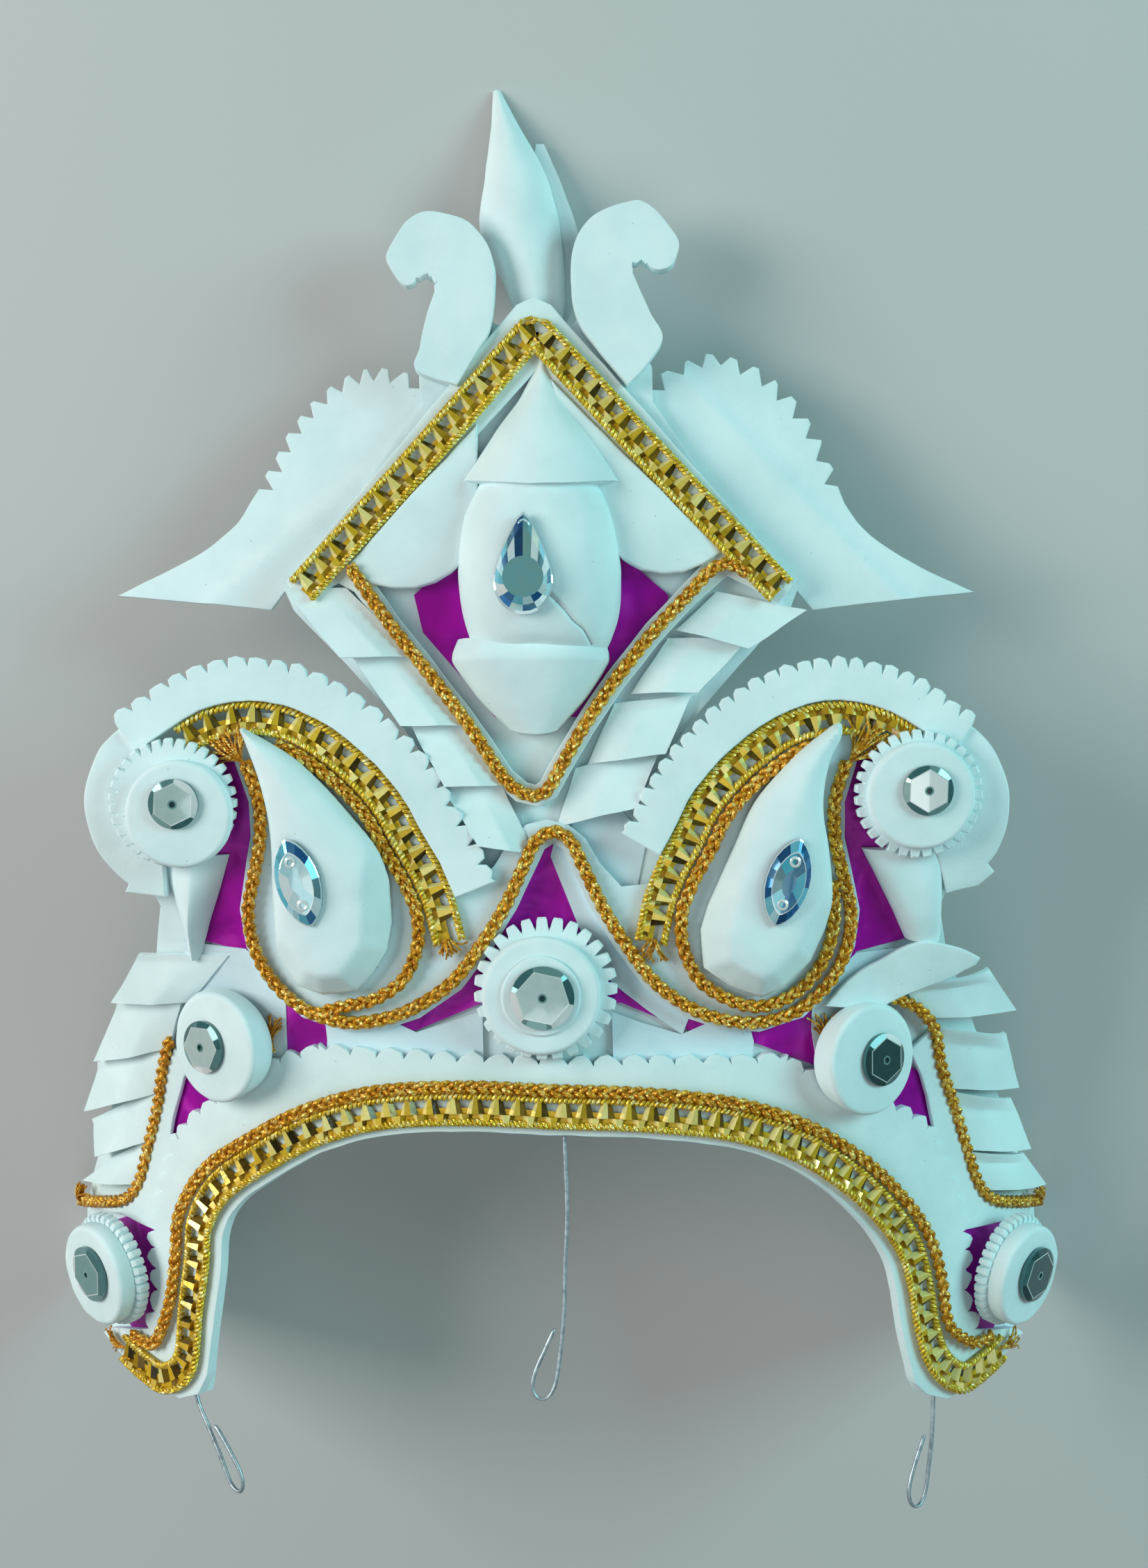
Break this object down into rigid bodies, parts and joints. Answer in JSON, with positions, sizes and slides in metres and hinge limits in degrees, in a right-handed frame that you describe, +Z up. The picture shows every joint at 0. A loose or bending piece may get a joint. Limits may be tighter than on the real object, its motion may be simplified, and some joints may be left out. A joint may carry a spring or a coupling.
{
  "type": "bridal crown",
  "caption": "Bridal crown of white pith cut-outs layered over purple foil on a bent board, edged with gold trim and cord, with mirrors, crystals, a finial and wire eyes for tying.",
  "frame": {"origin": "on the table under the middle of the crown's box, as it lies on its back", "axes": "+Z up, out of the front; +Y towards the finial; +X to the right of the front view"},
  "size_m": [0.2222, 0.2932, 0.0648],
  "materials": {
    "board": "matte white card",
    "pith": "matte white plant pith",
    "foil": "creased purple metallic foil",
    "gold_trim": "bright folded foil ribbon",
    "gold_cord": "plaited gold thread",
    "mirror": "cut mirror",
    "crystal": "foiled cut stone",
    "wire": "dull bent wire"
  },
  "bodies": {
    "root": {"base_board": "board", "foil_ground": "foil", "brow_band": "pith", "brow_trim": "gold_trim", "brow_cord": "gold_cord", "paisley_ground": "pith", "wave_cord": "gold_cord", "crescent_left": "pith", "crescent_right": "pith", "crescent_trim_left": "gold_trim", "crescent_trim_right": "gold_trim", "paisley_cord_left": "gold_cord", "paisley_cord_right": "gold_cord", "paisley_left": "pith", "paisley_right": "pith", "boat_stone_left": "crystal", "boat_stone_right": "crystal", "upper_rosette_left": "pith", "upper_rosette_right": "pith", "upper_mirror_left": "mirror", "upper_mirror_right": "mirror", "middle_rosette_left": "pith", "middle_rosette_right": "pith", "middle_mirror_left": "mirror", "middle_mirror_right": "mirror", "low_rosette_left": "pith", "low_rosette_right": "pith", "low_mirror_left": "mirror", "low_mirror_right": "mirror", "scroll_left": "pith", "scroll_right": "pith", "leg_left": "pith", "leg_right": "pith", "side_strips_left": "pith", "side_strips_right": "pith", "side_cord_left": "gold_cord", "side_cord_right": "gold_cord", "wing_left": "pith", "wing_right": "pith", "curl_left": "pith", "curl_right": "pith", "centre_rosette": "pith", "centre_mirror": "mirror", "diamond_frame": "pith", "diamond_trim": "gold_trim", "diamond_cord": "gold_cord", "foil_diamond": "foil", "petal_left": "pith", "petal_right": "pith", "pot_cap": "pith", "pot_body": "pith", "pot_foot": "pith", "drop_stone": "crystal", "ribs_left": "pith", "ribs_right": "pith", "finial_front": "pith", "finial_back": "pith", "wire_centre": "wire", "wire_left": "wire", "wire_right": "wire"}
  },
  "joints": []
}
